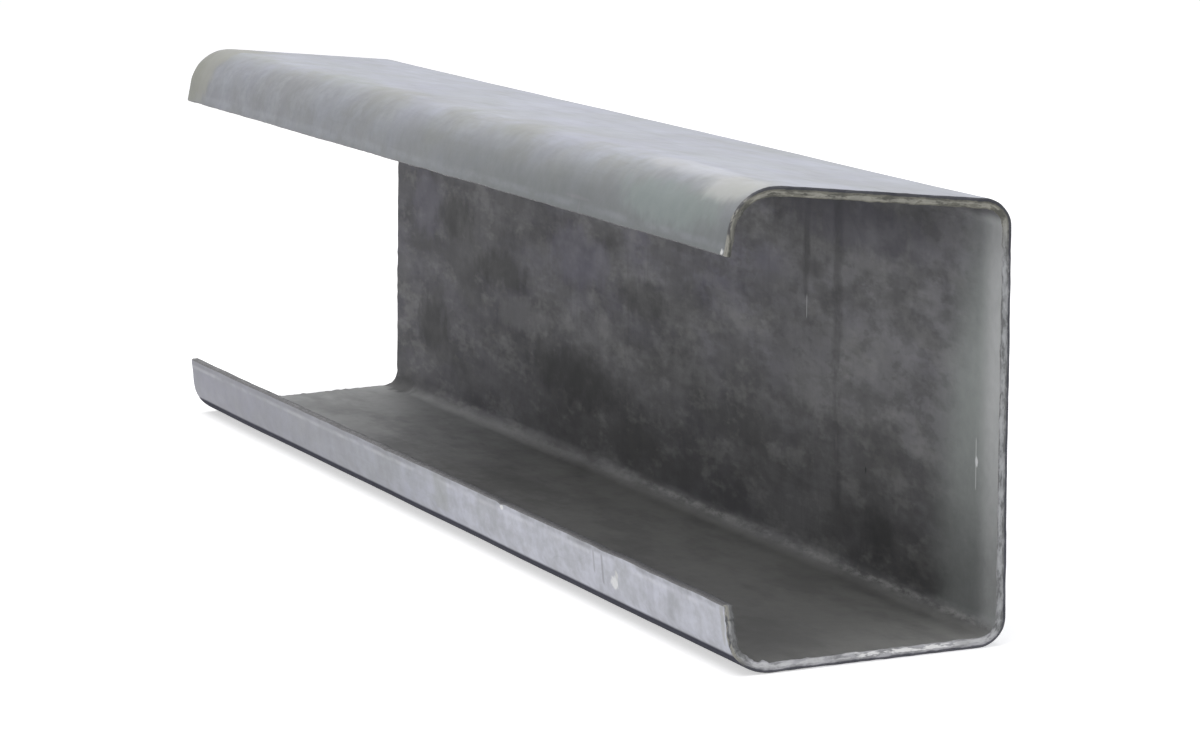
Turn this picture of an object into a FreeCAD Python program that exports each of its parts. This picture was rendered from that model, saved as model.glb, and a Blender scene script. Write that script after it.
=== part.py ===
"""Cold-formed C purlin offcut: one piece of sheet steel folded along four bends.

Millimetres, +Z up. The length runs along X. The purlin stands on its bottom flange, its web is
at the back (+Y) and the open side with the two lips faces the front (-Y). The origin is on the
underside of the bottom flange, halfway along it and halfway across it.
"""
import FreeCAD, Part

import math
import os

import Sketcher
from FreeCAD import Vector

# Driving dimensions: alias, value, what it is. Widths are measured outside the sheet, to the sharp
# corners where its outer faces would meet. An opening is how many degrees a bend stops short of
# square, because the sheet springs back after folding.
DIMENSIONS = [
    ("purlin_length", 500.0, "length of the offcut"),
    ("web_height", 100.0, "web, corner to corner"),
    ("flange_width", 65.0, "each flange, corner to corner"),
    ("lip_length", 16.5, "each lip, corner to tip"),
    ("sheet_thickness", 2.3, "steel sheet"),
    ("web_bend_radius", 4.5, "inside radius of the two bends at the web"),
    ("top_lip_bend_radius", 9.5, "inside radius of the softer bend at the top lip"),
    ("bottom_lip_bend_radius", 7.0, "inside radius of the bend at the bottom lip"),
    ("flange_opening", 4.25, "opening of the two bends at the web, degrees"),
    ("top_lip_opening", 6.0, "opening of the top lip's bend, degrees"),
    ("bottom_lip_opening", 1.5, "opening of the bottom lip's bend, degrees"),
]
SHEET_NAME = "dimensions"
START, END, CENTRE = 1, 2, 3  # the sketcher's numbers for the points of a line or an arc
ORIGIN = (-1, 1)


def make_sheet(doc):
    """The spreadsheet that holds every driving dimension under its alias."""
    sheet = doc.addObject("Spreadsheet::Sheet", SHEET_NAME)
    for row, (alias, value, meaning) in enumerate(DIMENSIONS, start=1):
        sheet.set(f"A{row}", meaning)
        sheet.set(f"B{row}", str(value))
        sheet.setAlias(f"B{row}", alias)
    doc.recompute()
    return sheet


def cell(alias):
    """The expression that reads one cell."""
    return f"{SHEET_NAME}.{alias}"


# The walls in order from the bottom lip's tip round to the top lip's tip, each with its length,
# and the bends between them, each with its inside radius and its opening.
WALLS = [
    ("bottom_lip", "lip_length"),
    ("bottom_flange", "flange_width"),
    ("web", "web_height"),
    ("top_flange", "flange_width"),
    ("top_lip", "lip_length"),
]
BENDS = [
    ("bottom_lip_bend", "bottom_lip_bend_radius", "bottom_lip_opening"),
    ("bottom_web_bend", "web_bend_radius", "flange_opening"),
    ("top_web_bend", "web_bend_radius", "flange_opening"),
    ("top_lip_bend", "top_lip_bend_radius", "top_lip_opening"),
]
FLOOR_WALL = 1  # the bottom flange lies on the floor


def wall_directions(sheet):
    """A unit vector along each wall, walking from the bottom lip's tip to the top lip's tip."""
    turns = [math.radians(90.0 - getattr(sheet, opening)) for _, _, opening in BENDS]
    headings = [-turns[0], 0.0]
    for turn in turns[FLOOR_WALL:]:
        headings.append(headings[-1] + turn)
    return [Vector(math.cos(a), math.sin(a), 0) for a in headings]


def sharp_corners(sheet, directions):
    """The outer outline with sharp corners, tip to tip, with the bottom flange centred on the origin."""
    lengths = [getattr(sheet, alias) for _, alias in WALLS]
    corner = Vector(-sheet.flange_width / 2, 0, 0)
    corners = [corner - directions[0] * lengths[0], corner]
    for direction, length in zip(directions[FLOOR_WALL:], lengths[FLOOR_WALL:]):
        corners.append(corners[-1] + direction * length)
    return corners


def add_walls(sketch, corners, directions, sheet, offset):
    """One face of the sheet as lines and arcs, that far inside the outline. Returns their indices."""
    inward = [Vector(-d.y, d.x, 0) for d in directions]
    last = len(WALLS) - 1
    setbacks, centres, radii = [], [], []
    for bend, (_, radius_alias, _) in enumerate(BENDS):
        outer_radius = getattr(sheet, radius_alias) + sheet.sheet_thickness
        turn = directions[bend].getAngle(directions[bend + 1])
        setbacks.append(outer_radius * math.tan(turn / 2))
        start = corners[bend + 1] - directions[bend] * setbacks[bend]
        centres.append(start + inward[bend] * outer_radius)
        radii.append(outer_radius - offset)
    lines, arcs = [], []
    for wall in range(len(WALLS)):
        begin = corners[wall] + inward[wall] * offset
        finish = corners[wall + 1] + inward[wall] * offset
        if wall > 0:
            begin = begin + directions[wall] * setbacks[wall - 1]
        if wall < last:
            finish = finish - directions[wall] * setbacks[wall]
        lines.append(sketch.addGeometry(Part.LineSegment(begin, finish)))
    for bend, (centre, radius) in enumerate(zip(centres, radii)):
        circle = Part.Circle(centre, Vector(0, 0, 1), radius)
        from_angle = math.atan2(-inward[bend].y, -inward[bend].x)
        to_angle = math.atan2(-inward[bend + 1].y, -inward[bend + 1].x)
        arcs.append(sketch.addGeometry(Part.ArcOfCircle(circle, from_angle, to_angle)))
    for bend, arc in enumerate(arcs):
        sketch.addConstraint(Sketcher.Constraint("Tangent", lines[bend], END, arc, START))
        sketch.addConstraint(Sketcher.Constraint("Tangent", arc, END, lines[bend + 1], START))
    return lines, arcs


def bind(sketch, constraint, expression):
    """Adds a constraint with a value and ties the value to the sheet."""
    index = sketch.addConstraint(constraint)
    sketch.setExpression(f"Constraints[{index}]", expression)


def add_sharp_outline(sketch, corners, sheet):
    """Construction lines along the outer faces, with every width and fold angle bound to the sheet."""
    guides = []
    for begin, finish in zip(corners, corners[1:]):
        guides.append(sketch.addGeometry(Part.LineSegment(begin, finish), True))
    for guide, following in zip(guides, guides[1:]):
        sketch.addConstraint(Sketcher.Constraint("Coincident", guide, END, following, START))
    floor = guides[FLOOR_WALL]
    sketch.addConstraint(Sketcher.Constraint("Horizontal", floor))
    sketch.addConstraint(Sketcher.Constraint("Symmetric", floor, START, floor, END, *ORIGIN))
    for guide, (_, alias) in zip(guides, WALLS):
        bind(sketch, Sketcher.Constraint("Distance", guide, getattr(sheet, alias)), cell(alias))
    for guide, following, (_, _, opening) in zip(guides, guides[1:], BENDS):
        inside_angle = math.radians(90.0 + getattr(sheet, opening))
        fold = Sketcher.Constraint("Angle", following, START, guide, END, inside_angle)
        bind(sketch, fold, f"(90 + {cell(opening)}) * 1 deg")
    return guides


def draw_section(sketch, sheet):
    """The whole section: the sheet's outer face, its inner face one thickness in, and the two tips."""
    directions = wall_directions(sheet)
    corners = sharp_corners(sheet, directions)
    guides = add_sharp_outline(sketch, corners, sheet)
    outer_lines, outer_arcs = add_walls(sketch, corners, directions, sheet, 0.0)
    inner_lines, inner_arcs = add_walls(sketch, corners, directions, sheet, sheet.sheet_thickness)
    for wall, (guide, line) in enumerate(zip(guides, outer_lines)):
        at_tip = {0: START, len(WALLS) - 1: END}.get(wall)
        for point in (START, END):
            if point == at_tip:
                sketch.addConstraint(Sketcher.Constraint("Coincident", line, point, guide, point))
            else:
                sketch.addConstraint(Sketcher.Constraint("PointOnObject", line, point, guide))
    for outer, inner, (_, radius_alias, _) in zip(outer_arcs, inner_arcs, BENDS):
        sketch.addConstraint(Sketcher.Constraint("Coincident", outer, CENTRE, inner, CENTRE))
        radius = getattr(sheet, radius_alias)
        bind(sketch, Sketcher.Constraint("Radius", inner, radius), cell(radius_alias))
        outer_radius = radius + sheet.sheet_thickness
        outer_expression = f"{cell(radius_alias)} + {cell('sheet_thickness')}"
        bind(sketch, Sketcher.Constraint("Radius", outer, outer_radius), outer_expression)
    for wall, point in ((0, START), (len(WALLS) - 1, END)):
        outer, inner = outer_lines[wall], inner_lines[wall]
        pick = "StartPoint" if point == START else "EndPoint"
        tip_ends = [getattr(sketch.Geometry[line], pick) for line in (outer, inner)]
        tip = sketch.addGeometry(Part.LineSegment(*tip_ends))
        sketch.addConstraint(Sketcher.Constraint("Coincident", tip, START, outer, point))
        sketch.addConstraint(Sketcher.Constraint("Coincident", tip, END, inner, point))
        sketch.addConstraint(Sketcher.Constraint("Parallel", inner, outer))
        sketch.addConstraint(Sketcher.Constraint("Perpendicular", tip, outer))


def origin_plane(body, role):
    """The body's own origin plane with that role."""
    return next(plane for plane in body.Origin.OriginFeatures if plane.Role == role)


def make_c_purlin(doc, sheet):
    """The purlin: its section on the YZ plane, drawn out equally both ways along X."""
    body = doc.addObject("PartDesign::Body", "c_purlin")
    body.Label = "c_purlin"
    section = body.newObject("Sketcher::SketchObject", "section")
    section.AttachmentSupport = [(origin_plane(body, "YZ_Plane"), "")]
    section.MapMode = "FlatFace"
    draw_section(section, sheet)
    doc.recompute()
    run = body.newObject("PartDesign::Pad", "run")
    run.Profile = section
    run.SideType = "Symmetric"
    run.setExpression("Length", cell("purlin_length"))
    doc.recompute()
    return body


def check(doc, bodies):
    """Stops the script if any object failed, or if a piece is missing or broken."""
    for thing in doc.Objects:
        if "Invalid" in thing.State or "Error" in thing.State:
            raise RuntimeError(f"{thing.Name} failed: {thing.State}")
    for body in bodies:
        if body.Shape.isNull() or not body.Shape.isValid() or len(body.Shape.Solids) != 1:
            raise RuntimeError(f"{body.Label} is not one valid solid")


def main():
    """Builds the document, checks it and writes one STEP file for each piece."""
    doc = FreeCAD.newDocument("c_purlin_offcut")
    sheet = make_sheet(doc)
    bodies = [make_c_purlin(doc, sheet)]
    doc.recompute()
    check(doc, bodies)
    os.makedirs("parts", exist_ok=True)
    for body in bodies:
        body.Shape.exportStep(os.path.join("parts", body.Label + ".step"))
        box = body.Shape.BoundBox
        print(f"{body.Label}: {box.XLength:.2f} x {box.YLength:.2f} x {box.ZLength:.2f} mm,", end=" ")
        print(f"y {box.YMin:.2f} to {box.YMax:.2f}, z {box.ZMin:.2f} to {box.ZMax:.2f},", end=" ")
        print(f"volume {body.Shape.Volume:.0f} mm3")


main()
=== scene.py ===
"""Looks of a C purlin offcut: one folded steel sheet, with its sheared ends and mill-worn faces.

The purlin runs along X, stands on its bottom flange, has its web towards +Y and its open side
towards -Y. Everything is in metres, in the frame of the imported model.
"""
import logging
import math
from dataclasses import dataclass, field
from enum import Enum
from typing import Callable, Sequence, Union

import bpy
import numpy as np
from mathutils import Matrix, Vector, noise


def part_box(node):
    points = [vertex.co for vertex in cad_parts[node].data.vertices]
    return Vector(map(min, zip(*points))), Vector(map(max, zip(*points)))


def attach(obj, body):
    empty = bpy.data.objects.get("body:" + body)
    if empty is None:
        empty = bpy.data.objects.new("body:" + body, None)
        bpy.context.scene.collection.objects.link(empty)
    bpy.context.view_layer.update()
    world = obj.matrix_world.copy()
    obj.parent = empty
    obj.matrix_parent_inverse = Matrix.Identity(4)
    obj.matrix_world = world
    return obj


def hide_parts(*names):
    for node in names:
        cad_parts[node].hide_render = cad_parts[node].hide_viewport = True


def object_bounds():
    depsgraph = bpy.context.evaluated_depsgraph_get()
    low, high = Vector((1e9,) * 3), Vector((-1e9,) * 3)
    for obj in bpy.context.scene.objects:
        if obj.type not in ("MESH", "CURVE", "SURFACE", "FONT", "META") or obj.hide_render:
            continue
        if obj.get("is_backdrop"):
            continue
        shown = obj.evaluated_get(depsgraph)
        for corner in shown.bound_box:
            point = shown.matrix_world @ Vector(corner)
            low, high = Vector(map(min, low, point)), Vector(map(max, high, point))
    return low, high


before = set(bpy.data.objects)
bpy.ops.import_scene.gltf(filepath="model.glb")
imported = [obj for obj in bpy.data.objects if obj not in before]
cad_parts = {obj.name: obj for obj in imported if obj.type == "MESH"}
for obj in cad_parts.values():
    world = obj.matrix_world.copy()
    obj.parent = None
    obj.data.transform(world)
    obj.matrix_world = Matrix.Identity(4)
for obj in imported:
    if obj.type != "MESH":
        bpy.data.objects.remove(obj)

LOG = logging.getLogger("purlin")
MM = 0.001
PLACE = "sheet_place"  # vertex attribute: (along the length, round the section, through the sheet)
Colour = tuple[float, float, float]
Feed = Union[bpy.types.NodeSocket, float, Sequence[float]]


# --------------------------------------------------------------------------------------------
# The section
# --------------------------------------------------------------------------------------------


@dataclass(frozen=True)
class Rail:
    """One line of the sheet that runs the whole length: where it crosses the section."""

    outer: np.ndarray  # (y, z) on the sheet's outer face
    inward: np.ndarray  # unit (y, z) from the outer face to the inner one
    along: np.ndarray  # unit (y, z) round the section, from the bottom lip to the top lip
    girth: float  # distance round the section from the bottom lip's tip


@dataclass(frozen=True)
class FoldedSection:
    """The section's walls and bends, in metres and degrees, measured as the CAD part measures them.

    Widths are outside the sheet, to the sharp corners where its outer faces would meet. An
    opening is how many degrees a bend stops short of square.
    """

    web: float = 100.0 * MM
    flange: float = 65.0 * MM
    lip: float = 16.5 * MM
    sheet: float = 2.3 * MM
    web_bend: float = 4.5 * MM
    top_lip_bend: float = 9.5 * MM
    bottom_lip_bend: float = 7.0 * MM
    flange_opening: float = 4.25
    top_lip_opening: float = 6.0
    bottom_lip_opening: float = 1.5
    flat_step: float = 1.7 * MM
    fine_step: float = 0.55 * MM
    fine_girth: float = 24.0 * MM  # the ragged bottom lip and its bend get the fine step
    arc_step: float = 7.0  # degrees

    def bends(self) -> list[tuple[float, float]]:
        """Outside radius and turn in radians of each bend, from the bottom lip round."""
        inside = (self.bottom_lip_bend, self.web_bend, self.web_bend, self.top_lip_bend)
        openings = (self.bottom_lip_opening, self.flange_opening, self.flange_opening, self.top_lip_opening)
        return [(r + self.sheet, math.radians(90.0 - o)) for r, o in zip(inside, openings)]

    def rails(self) -> list[Rail]:
        """The lines that make up the sheet, from the bottom lip's tip round to the top lip's."""
        bends = self.bends()
        heading = -bends[0][1]
        direction = np.array([math.cos(heading), math.sin(heading)])
        place = np.array([-self.flange / 2, 0.0]) - direction * self.lip
        rails: list[Rail] = []
        girth = 0.0
        used = 0.0
        for number, wall in enumerate((self.lip, self.flange, self.web, self.flange, self.lip)):
            radius, turn = bends[number] if number < len(bends) else (0.0, 0.0)
            setback = radius * math.tan(turn / 2)
            flat = wall - used - setback
            step = self.fine_step if girth < self.fine_girth else self.flat_step
            direction = np.array([math.cos(heading), math.sin(heading)])
            inward = np.array([-direction[1], direction[0]])
            for share in np.linspace(0.0, 1.0, max(2, round(flat / step) + 1)):
                rails.append(Rail(place + direction * flat * share, inward, direction, girth + flat * share))
            place, girth, used = place + direction * flat, girth + flat, setback
            if not radius:
                break
            centre = place + inward * radius
            parts = max(4, round(math.degrees(turn) / self.arc_step))
            for part in range(1, parts):
                angle = heading + turn * part / parts
                tangent = np.array([math.cos(angle), math.sin(angle)])
                normal = np.array([-tangent[1], tangent[0]])
                rails.append(
                    Rail(centre - normal * radius, normal, tangent, girth + radius * turn * part / parts)
                )
            heading += turn
            tangent = np.array([math.cos(heading), math.sin(heading)])
            place = centre - np.array([-tangent[1], tangent[0]]) * radius
            girth += radius * turn
        return rails

    def bend_girths(self) -> list[float]:
        """The middle of each bend, as a distance round the section."""
        bends = self.bends()
        middles, girth, used = [], 0.0, 0.0
        for wall, (radius, turn) in zip((self.lip, self.flange, self.web, self.flange), bends):
            setback = radius * math.tan(turn / 2)
            girth += wall - used - setback
            middles.append(girth + radius * turn / 2)
            girth, used = girth + radius * turn, setback
        return middles


# --------------------------------------------------------------------------------------------
# Node trees
# --------------------------------------------------------------------------------------------


class Graph:
    """A node tree, with short calls that add a node and wire its inputs."""

    def __init__(self, tree: bpy.types.NodeTree) -> None:
        self.tree = tree

    def node(self, kind: str, feeds: dict[Union[str, int], Feed], **settings: object) -> bpy.types.Node:
        """Adds a node.

        Args:
            kind: the node's type name.
            feeds: what goes into each input, by its name or number: a socket or a plain value.
            settings: properties of the node itself.

        Returns:
            The node.
        """
        made = self.tree.nodes.new(kind)
        for name, value in settings.items():
            setattr(made, name, value)
        for key, value in feeds.items():
            if isinstance(value, bpy.types.NodeSocket):
                self.tree.links.new(value, made.inputs[key])
            else:
                made.inputs[key].default_value = value
        return made

    def math(self, operation: str, *terms: Feed) -> bpy.types.NodeSocket:
        """One Math node."""
        return self.node("ShaderNodeMath", dict(enumerate(terms)), operation=operation).outputs[0]

    def smooth(self, value: Feed, low: Feed, high: Feed) -> bpy.types.NodeSocket:
        """0 below low, 1 above high, and an eased slope between them."""
        feeds = {"Value": value, "From Min": low, "From Max": high}
        return self.node("ShaderNodeMapRange", feeds, interpolation_type="SMOOTHSTEP").outputs[0]

    def blend(self, mask: Feed, low: Feed, high: Feed) -> bpy.types.NodeSocket:
        """Two colours mixed by a mask. Plain colours are given as three numbers."""
        made = self.tree.nodes.new("ShaderNodeMix")
        made.data_type = "RGBA"
        for number, value in ((0, mask), (6, low), (7, high)):
            if isinstance(value, bpy.types.NodeSocket):
                self.tree.links.new(value, made.inputs[number])
            else:
                made.inputs[number].default_value = value if number == 0 else (*value, 1.0)
        return made.outputs[2]

    def noise(self, vector: Feed, scale: Feed, detail: float, roughness: float) -> bpy.types.NodeSocket:
        """Fractal noise between 0 and 1."""
        feeds = {"Vector": vector, "Scale": scale, "Detail": detail, "Roughness": roughness}
        return self.node("ShaderNodeTexNoise", feeds).outputs["Fac"]

    def stretch(self, vector: Feed, scale: Feed) -> bpy.types.NodeSocket:
        """A vector multiplied axis by axis."""
        return self.node("ShaderNodeVectorMath", {0: vector, 1: scale}, operation="MULTIPLY").outputs[0]

    def shift(self, vector: Feed, offset: Feed) -> bpy.types.NodeSocket:
        """A vector moved by another."""
        return self.node("ShaderNodeVectorMath", {0: vector, 1: offset}, operation="ADD").outputs[0]


class EffectGroup:
    """A shader node group that puts out one mask, built once and shared by the materials."""

    def __init__(
        self,
        name: str,
        inputs: dict[str, Union[float, None]],
        wiring: Callable[[Graph, dict[str, bpy.types.NodeSocket]], bpy.types.NodeSocket],
    ) -> None:
        """Builds the group.

        Args:
            name: the group's name.
            inputs: its input sockets, each a number with its default, or None for a vector.
            wiring: takes the graph and the inputs by name, and returns the mask's socket.
        """
        self.tree = bpy.data.node_groups.new(name, "ShaderNodeTree")
        for label, default in inputs.items():
            kind = "NodeSocketVector" if default is None else "NodeSocketFloat"
            socket = self.tree.interface.new_socket(name=label, in_out="INPUT", socket_type=kind)
            if default is not None:
                socket.default_value = default
        self.tree.interface.new_socket(name="Mask", in_out="OUTPUT", socket_type="NodeSocketFloat")
        graph = Graph(self.tree)
        entry = graph.node("NodeGroupInput", {})
        exit_node = graph.node("NodeGroupOutput", {})
        mask = wiring(graph, {label: entry.outputs[label] for label in inputs})
        self.tree.links.new(mask, exit_node.inputs["Mask"])

    def place(self, graph: Graph, **feeds: Feed) -> bpy.types.NodeSocket:
        """Adds the group to a graph. The names in feeds are the sockets' names with underscores."""
        made = graph.node("ShaderNodeGroup", {}, node_tree=self.tree)
        for name, value in feeds.items():
            socket = made.inputs[name.replace("_", " ").capitalize()]
            if isinstance(value, bpy.types.NodeSocket):
                graph.tree.links.new(value, socket)
            else:
                socket.default_value = value
        return made.outputs["Mask"]


def wire_clouds(graph: Graph, sockets: dict[str, bpy.types.NodeSocket]) -> bpy.types.NodeSocket:
    """Soft patches of two sizes, the smaller ones breaking up the rims of the larger."""
    wide = graph.noise(sockets["Vector"], sockets["Scale"], 3.0, 0.55)
    fine_scale = graph.math("MULTIPLY", sockets["Scale"], 3.7)
    fine = graph.noise(sockets["Vector"], fine_scale, 4.0, 0.6)
    mixed = graph.math("MULTIPLY_ADD", fine, 0.35, graph.math("MULTIPLY", wide, 0.65))
    low = graph.math("SUBTRACT", sockets["Level"], sockets["Softness"])
    high = graph.math("ADD", sockets["Level"], sockets["Softness"])
    return graph.smooth(mixed, low, high)


def wire_band(graph: Graph, sockets: dict[str, bpy.types.NodeSocket]) -> bpy.types.NodeSocket:
    """1 within a half width of a centre value, fading out over the softness."""
    off = graph.math("ABSOLUTE", graph.math("SUBTRACT", sockets["Value"], sockets["Centre"]))
    outside = graph.math("ADD", sockets["Half width"], sockets["Softness"])
    return graph.math("SUBTRACT", 1.0, graph.smooth(off, sockets["Half width"], outside))


def wire_spot(graph: Graph, sockets: dict[str, bpy.types.NodeSocket]) -> bpy.types.NodeSocket:
    """1 at a place on the sheet, fading to 0 an ellipse's radii away, with a ragged rim."""
    place = graph.node("ShaderNodeSeparateXYZ", {0: sockets["Vector"]})
    along = graph.math(
        "DIVIDE", graph.math("SUBTRACT", place.outputs[0], sockets["Along"]), sockets["Length"]
    )
    across = graph.math(
        "DIVIDE", graph.math("SUBTRACT", place.outputs[1], sockets["Round"]), sockets["Width"]
    )
    both = graph.math("ADD", graph.math("POWER", along, 2.0), graph.math("POWER", across, 2.0))
    rim = graph.noise(sockets["Vector"], sockets["Rim scale"], 3.0, 0.6)
    ragged = graph.math("ADD", both, graph.math("MULTIPLY_ADD", rim, 1.6, -0.8))
    return graph.math("SUBTRACT", 1.0, graph.smooth(ragged, 0.15, 1.0))


def wire_streaks(graph: Graph, sockets: dict[str, bpy.types.NodeSocket]) -> bpy.types.NodeSocket:
    """Long thin marks. The vector comes in stretched, so that they lie the way they should."""
    body = graph.noise(sockets["Vector"], sockets["Scale"], 2.0, 0.5)
    lines = graph.noise(sockets["Vector"], graph.math("MULTIPLY", sockets["Scale"], 2.9), 2.0, 0.6)
    mixed = graph.math("MULTIPLY_ADD", lines, 0.5, graph.math("MULTIPLY", body, 0.5))
    low = graph.math("SUBTRACT", 1.0, sockets["Amount"])
    return graph.smooth(mixed, low, graph.math("ADD", low, 0.12))


def wire_scratches(graph: Graph, sockets: dict[str, bpy.types.NodeSocket]) -> bpy.types.NodeSocket:
    """Hair-fine lines where warped noise crosses its middle value, kept only in some places."""
    field_value = graph.noise(sockets["Vector"], sockets["Scale"], 1.0, 0.4)
    distance = graph.math("ABSOLUTE", graph.math("SUBTRACT", field_value, 0.5))
    line = graph.math("SUBTRACT", 1.0, graph.smooth(distance, 0.0, sockets["Thinness"]))
    where = graph.noise(graph.shift(sockets["Vector"], (7.0, 3.0, 1.0)), sockets["Scale"], 2.0, 0.5)
    kept = graph.smooth(where, graph.math("SUBTRACT", 1.0, sockets["Amount"]), 0.85)
    return graph.math("MULTIPLY", line, kept)


@dataclass(frozen=True)
class Effects:
    """The shared effects, each one node group."""

    clouds: EffectGroup
    band: EffectGroup
    spot: EffectGroup
    streaks: EffectGroup
    scratches: EffectGroup

    @classmethod
    def build(cls) -> "Effects":
        """Makes every group once."""
        return cls(
            clouds=EffectGroup(
                "cloudy_patches",
                {"Vector": None, "Scale": 30.0, "Level": 0.5, "Softness": 0.15},
                wire_clouds,
            ),
            band=EffectGroup(
                "band", {"Value": 0.0, "Centre": 0.0, "Half width": 0.001, "Softness": 0.001}, wire_band
            ),
            spot=EffectGroup(
                "worn_spot",
                {
                    "Vector": None, "Along": 0.0, "Round": 0.0,
                    "Length": 0.01, "Width": 0.01, "Rim scale": 150.0,
                },
                wire_spot,
            ),
            streaks=EffectGroup("streaks", {"Vector": None, "Scale": 100.0, "Amount": 0.4}, wire_streaks),
            scratches=EffectGroup(
                "scratches",
                {"Vector": None, "Scale": 60.0, "Thinness": 0.004, "Amount": 0.5},
                wire_scratches,
            ),
        )


# --------------------------------------------------------------------------------------------
# Finishes
# --------------------------------------------------------------------------------------------


class Face(Enum):
    """Which face of the sheet a polygon belongs to. The value is its material slot."""

    OUTER = 0
    INNER = 1
    EDGE = 2


@dataclass(frozen=True)
class Spot:
    """A mark at one place on the sheet, in metres, with half its extent each way."""

    along: float
    round_girth: float
    length: float
    width: float
    strength: float
    tint: Colour
    rim_scale: float = 150.0


@dataclass(frozen=True)
class Run:
    """A straight mark that runs round the section at one place along the length, in metres."""

    along: float
    low: float
    high: float
    half_width: float
    softness: float
    strength: float
    tint: Colour


class SheetMaterial:
    """A material under way: its graph, its coordinates, its colour so far and its shader."""

    def __init__(self, name: str, effects: Effects, base: Colour, metallic: float, specular: float) -> None:
        """Starts the material.

        Args:
            name: the material's name.
            effects: the shared effects.
            base: the colour that everything else is laid over.
            metallic: how much of it reflects as bare metal.
            specular: the specular level of what doesn't.
        """
        self.material = bpy.data.materials.new(name)
        self.material.use_nodes = True
        self.graph = Graph(self.material.node_tree)
        self.effects = effects
        self.colour: Feed = base
        self.shader = self.material.node_tree.nodes["Principled BSDF"]
        self.shader.inputs["Metallic"].default_value = metallic
        self.shader.inputs["Specular IOR Level"].default_value = specular
        self.place = self.graph.node("ShaderNodeAttribute", {}, attribute_name=PLACE).outputs["Vector"]
        split = self.graph.node("ShaderNodeSeparateXYZ", {0: self.place})
        self.along, self.girth, self.depth = split.outputs  # all in metres

    def drawn(self, along: float, round_girth: float = 1.0, seed: float = 0.0) -> bpy.types.NodeSocket:
        """The place on the sheet for a noise.

        Args:
            along: below 1, draws the marks out along the length.
            round_girth: below 1, draws them out round the section.
            seed: moves the pattern, so that two noises of one scale differ.

        Returns:
            The vector.
        """
        vector = self.graph.stretch(self.place, (along, round_girth, 1.0))
        return self.graph.shift(vector, (seed, seed * 0.6, 0.0)) if seed else vector

    def clouds(self, vector: Feed, scale: float, level: float, softness: float) -> bpy.types.NodeSocket:
        """Cloudy patches: a higher level leaves fewer of them."""
        return self.effects.clouds.place(
            self.graph, vector=vector, scale=scale, level=level, softness=softness
        )

    def band(self, value: Feed, centre: float, half_width: float, softness: float) -> bpy.types.NodeSocket:
        """1 within a half width of the centre, fading out over the softness."""
        return self.effects.band.place(
            self.graph, value=value, centre=centre, half_width=half_width, softness=softness
        )

    def rising(self, value: Feed, low: float, high: float) -> bpy.types.NodeSocket:
        """0 below low and 1 above high."""
        return self.graph.smooth(value, low, high)

    def falling(self, value: Feed, low: float, high: float) -> bpy.types.NodeSocket:
        """1 below low and 0 above high."""
        return self.graph.math("SUBTRACT", 1.0, self.graph.smooth(value, low, high))

    def between(self, mask: Feed, low: float, high: float) -> bpy.types.NodeSocket:
        """A mask rescaled to run from low to high."""
        return self.graph.math("MULTIPLY_ADD", mask, high - low, low)

    def lay(self, tint: Union[Colour, bpy.types.NodeSocket], strength: float, *masks: Feed) -> None:
        """Lays a tint over the colour so far, by a strength and the product of some masks."""
        weight: Feed = strength
        for mask in masks:
            weight = self.graph.math("MULTIPLY", weight, mask)
        self.colour = self.graph.blend(weight, self.colour, tint)

    def lay_spots(self, spots: Sequence[Spot]) -> None:
        """Lays the marks that lie at one place each."""
        for spot in spots:
            mask = self.effects.spot.place(
                self.graph,
                vector=self.place,
                along=spot.along,
                round=spot.round_girth,
                length=spot.length,
                width=spot.width,
                rim_scale=spot.rim_scale,
            )
            self.lay(spot.tint, spot.strength, mask)

    def lay_runs(self, runs: Sequence[Run], unevenness: Feed = 1.0) -> None:
        """Lays the straight marks that run round the section."""
        for run in runs:
            line = self.band(self.along, run.along, run.half_width, run.softness)
            half_reach = (run.high - run.low) / 2
            reach = self.band(
                self.girth, (run.low + run.high) / 2, half_reach, max(1.5 * MM, half_reach * 0.25)
            )
            weight = self.graph.math("MULTIPLY", self.graph.math("MULTIPLY", line, reach), unevenness)
            self.lay(run.tint, run.strength, self.rising(weight, 0.0, 1.0))

    def finish(self, roughness: Feed, height: Feed, bump: float) -> bpy.types.Material:
        """Wires the shader's inputs.

        Args:
            roughness: the roughness.
            height: the relief, which runs from 0 to 1.
            bump: the depth of the relief, in metres.

        Returns:
            The finished material.
        """
        relief = self.graph.node("ShaderNodeBump", {"Strength": 1.0, "Distance": bump, "Height": height})
        feeds = (("Base Color", self.colour), ("Roughness", roughness), ("Normal", relief.outputs["Normal"]))
        for name, feed in feeds:
            self.graph.tree.links.new(feed, self.shader.inputs[name])
        return self.material


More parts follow.
